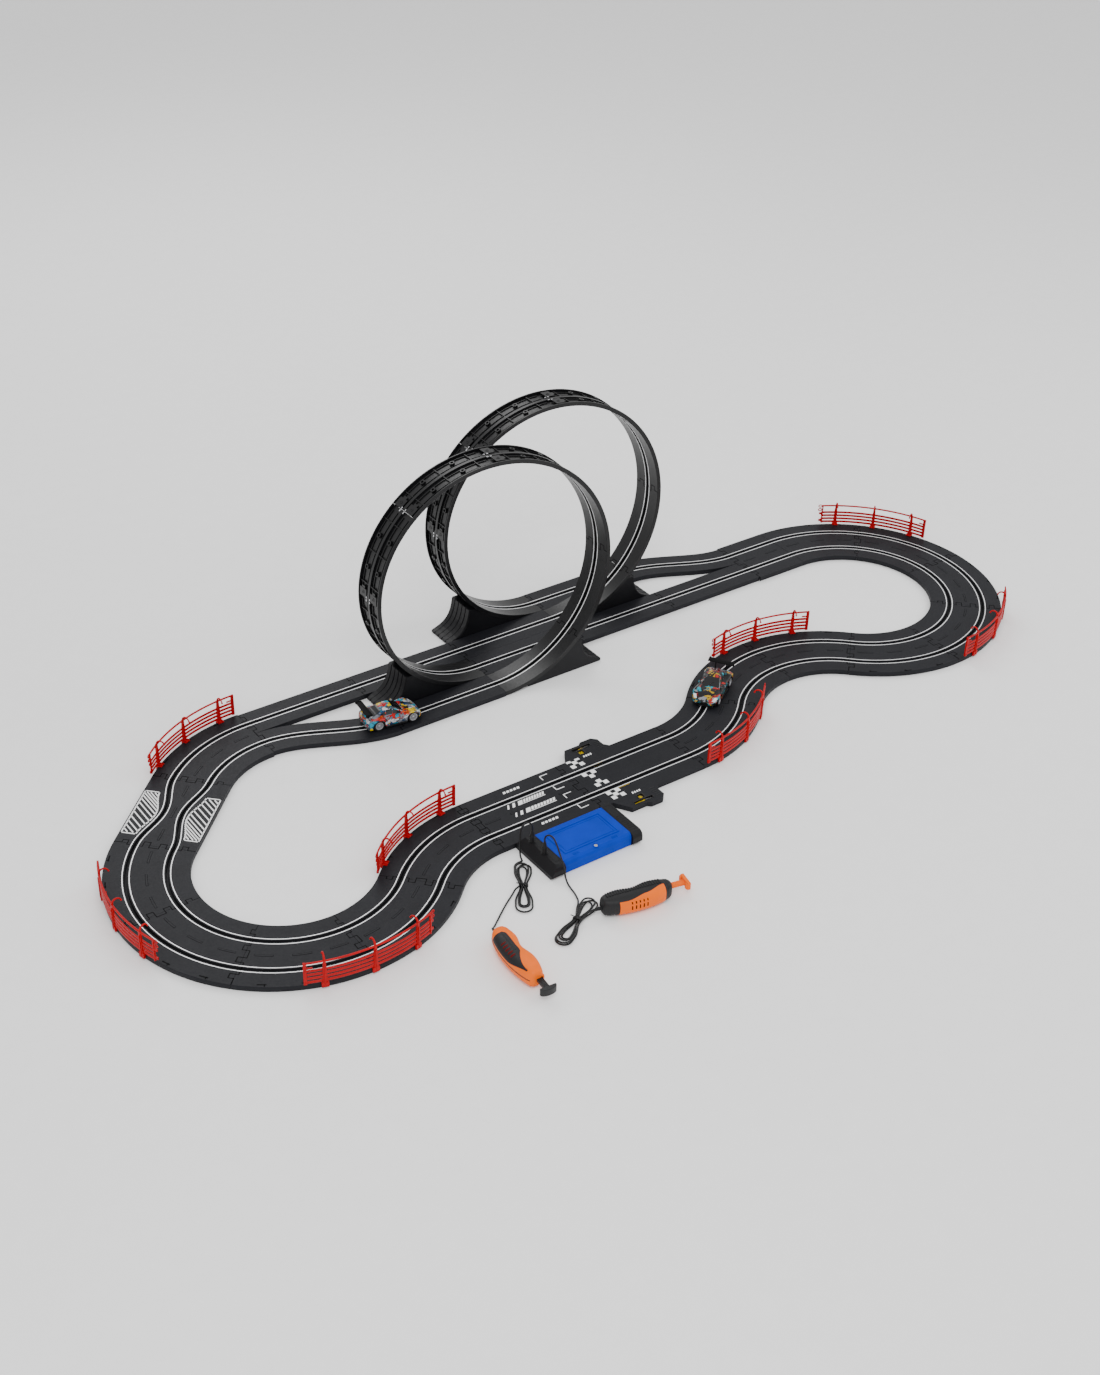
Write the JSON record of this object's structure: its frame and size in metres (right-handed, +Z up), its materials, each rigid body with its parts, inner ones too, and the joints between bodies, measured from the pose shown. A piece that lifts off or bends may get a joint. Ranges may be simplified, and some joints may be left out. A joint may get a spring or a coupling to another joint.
{
  "type": "slot car track set",
  "caption": "Two-lane slot car track set in 1:43 scale with two vertical loops, a chicane, lap counters, a battery box, two hand controllers and two cars.",
  "frame": {"origin": "on the surface the set stands on, below the centre line of the joint between the start piece and the lap counter piece", "axes": "+X along the front straight, towards the lap counter piece; +Y towards the back of the circuit; +Z up"},
  "size_m": [1.7091, 0.8568, 0.407],
  "materials": {
    "track_plastic": "fine grained, low sheen on the running side, glossy underneath",
    "support_plastic": "satin",
    "rail_steel": "worn bare steel",
    "fence_plastic": "gloss",
    "dark_plastic": "fine grained",
    "lid_plastic": "satin",
    "zinc_steel": "plated",
    "cell_jacket": "gloss sleeve",
    "yellow_plastic": "satin",
    "orange_plastic": "satin",
    "cord_rubber": "matt PVC sheath",
    "car_1_paint": "printed gloss, turquoise with blue, yellow and red patches",
    "car_2_paint": "printed gloss, black with grey, white, red and yellow patches",
    "window_plastic": "gloss black",
    "gear_nylon": "natural nylon",
    "tyre_rubber": "matt, silver hub"
  },
  "bodies": {
    "circuit": {"start_piece": "track_plastic", "lap_counter_piece": "track_plastic", "left_curves": "track_plastic", "right_curves": "track_plastic", "chicane_piece": "track_plastic", "half_straight": "track_plastic", "lane_straights": "track_plastic", "lane_s_curves": "track_plastic", "near_loop": "track_plastic", "far_loop": "track_plastic", "loop_supports": "support_plastic", "contact_rails": "rail_steel", "left_fences": "fence_plastic", "right_fences": "fence_plastic", "battery_base": "dark_plastic", "batteries": "cell_jacket", "battery_contacts": "zinc_steel", "controller_1_body": "orange_plastic", "controller_1_panel": "dark_plastic", "controller_2_body": "dark_plastic", "controller_2_panel": "orange_plastic", "cord_plugs": "cord_rubber", "cord_1": "cord_rubber", "hank_1": "cord_rubber", "cord_2": "cord_rubber", "hank_2": "cord_rubber"},
    "battery_cover": {"battery_lid": "lid_plastic", "lid_screw": "zinc_steel"},
    "near_dial": {"near_lap_dial": "yellow_plastic"},
    "far_dial": {"far_lap_dial": "yellow_plastic"},
    "near_lever": {"near_lap_lever": "yellow_plastic"},
    "far_lever": {"far_lap_lever": "yellow_plastic"},
    "plunger_1": {"controller_1_plunger": "dark_plastic", "controller_1_spring": "zinc_steel"},
    "plunger_2": {"controller_2_plunger": "orange_plastic", "controller_2_spring": "zinc_steel"},
    "car_1_guide": {"car_1_guide": "dark_plastic"},
    "car_1_frame": {"car_1_shell": "car_1_paint", "car_1_windows": "window_plastic", "car_1_wing": "dark_plastic", "car_1_chassis": "dark_plastic", "car_1_motor": "zinc_steel"},
    "car_1_front": {"car_1_front_axle": "zinc_steel", "car_1_front_wheels": "tyre_rubber"},
    "car_1_rear": {"car_1_rear_axle": "zinc_steel", "car_1_rear_wheels": "tyre_rubber", "car_1_crown_gear": "gear_nylon"},
    "car_1_pinion": {"car_1_pinion": "gear_nylon"},
    "car_2_guide": {"car_2_guide": "dark_plastic"},
    "car_2_frame": {"car_2_shell": "car_2_paint", "car_2_windows": "window_plastic", "car_2_wing": "dark_plastic", "car_2_chassis": "dark_plastic", "car_2_motor": "zinc_steel"},
    "car_2_front": {"car_2_front_axle": "zinc_steel", "car_2_front_wheels": "tyre_rubber"},
    "car_2_rear": {"car_2_rear_axle": "zinc_steel", "car_2_rear_wheels": "tyre_rubber", "car_2_crown_gear": "gear_nylon"},
    "car_2_pinion": {"car_2_pinion": "gear_nylon"}
  },
  "joints": [
    {"name": "battery_cover_open", "type": "hinge", "parent": "circuit", "child": "battery_cover", "pos_m": [-0.0755, -0.074, 0.01975], "axis": [-1, 0, 0], "range_deg": [0, 70]},
    {"name": "near_dial_turn", "type": "hinge", "parent": "circuit", "child": "near_dial", "pos_m": [0.0565, -0.07, 0.003], "axis": [0, 0, 1], "continuous": true},
    {"name": "near_lever_swing", "type": "hinge", "parent": "circuit", "child": "near_lever", "pos_m": [0.046, -0.038, 0.0045], "axis": [0, 0, -1], "range_deg": [0, 6], "stiffness_Nm_per_rad": 0.004},
    {"name": "far_dial_turn", "type": "hinge", "parent": "circuit", "child": "far_dial", "pos_m": [0.0645, 0.07, 0.003], "axis": [0, 0, 1], "continuous": true},
    {"name": "far_lever_swing", "type": "hinge", "parent": "circuit", "child": "far_lever", "pos_m": [0.046, 0.038, 0.0045], "axis": [0, 0, 1], "range_deg": [0, 6], "stiffness_Nm_per_rad": 0.004},
    {"name": "controller_1_squeeze", "type": "slide", "parent": "circuit", "child": "plunger_1", "axis": [0.0872, 0.9962, 0], "range_m": [0, 0.012], "stiffness_N_per_m": 250},
    {"name": "controller_2_squeeze", "type": "slide", "parent": "circuit", "child": "plunger_2", "axis": [-0.9799, 0.1994, 0], "range_m": [0, 0.012], "stiffness_N_per_m": 250},
    {"name": "car_1_travel", "type": "slide", "parent": "circuit", "child": "car_1_guide", "axis": [1, 0, 0], "range_m": [0, 0.08]},
    {"name": "car_1_swing", "type": "hinge", "parent": "car_1_guide", "child": "car_1_frame", "pos_m": [-0.105, 0.3015, 0.01215], "axis": [0, 0, 1], "range_deg": [0, 6.7]},
    {"name": "car_1_front_spin", "type": "hinge", "parent": "car_1_frame", "child": "car_1_front", "pos_m": [-0.11295, 0.30243, 0.01755], "axis": [0.1167, 0.9932, 0], "continuous": true},
    {"name": "car_1_rear_spin", "type": "hinge", "parent": "car_1_frame", "child": "car_1_rear", "pos_m": [-0.17055, 0.3092, 0.01755], "axis": [0.1167, 0.9932, 0], "continuous": true},
    {"name": "car_1_pinion_spin", "type": "hinge", "parent": "car_1_frame", "child": "car_1_pinion", "pos_m": [-0.16608, 0.30867, 0.01755], "axis": [0.9932, -0.1167, 0], "continuous": true},
    {"name": "car_2_travel", "type": "hinge", "parent": "circuit", "child": "car_2_guide", "pos_m": [0.1935, 0.1945, 0.008], "axis": [0, 0, 1], "range_deg": [-36, 4]},
    {"name": "car_2_swing", "type": "hinge", "parent": "car_2_guide", "child": "car_2_frame", "pos_m": [0.29931, 0.0666, 0.01215], "axis": [0, 0, 1], "range_deg": [-12, 12]},
    {"name": "car_2_front_spin", "type": "hinge", "parent": "car_2_frame", "child": "car_2_front", "pos_m": [0.30602, 0.07095, 0.01755], "axis": [0.5446, -0.8387, 0], "continuous": true},
    {"name": "car_2_rear_spin", "type": "hinge", "parent": "car_2_frame", "child": "car_2_rear", "pos_m": [0.35467, 0.10254, 0.01755], "axis": [0.5446, -0.8387, 0], "continuous": true},
    {"name": "car_2_pinion_spin", "type": "hinge", "parent": "car_2_frame", "child": "car_2_pinion", "pos_m": [0.35089, 0.10009, 0.01755], "axis": [-0.8387, -0.5446, 0], "continuous": true}
  ],
  "couplings": [
    {"joint": "car_1_swing", "follows": "car_1_travel", "rad_per_m": 1.4595},
    {"joint": "car_1_pinion_spin", "follows": "car_1_rear_spin", "ratio": 3},
    {"joint": "car_2_pinion_spin", "follows": "car_2_rear_spin", "ratio": 3}
  ]
}
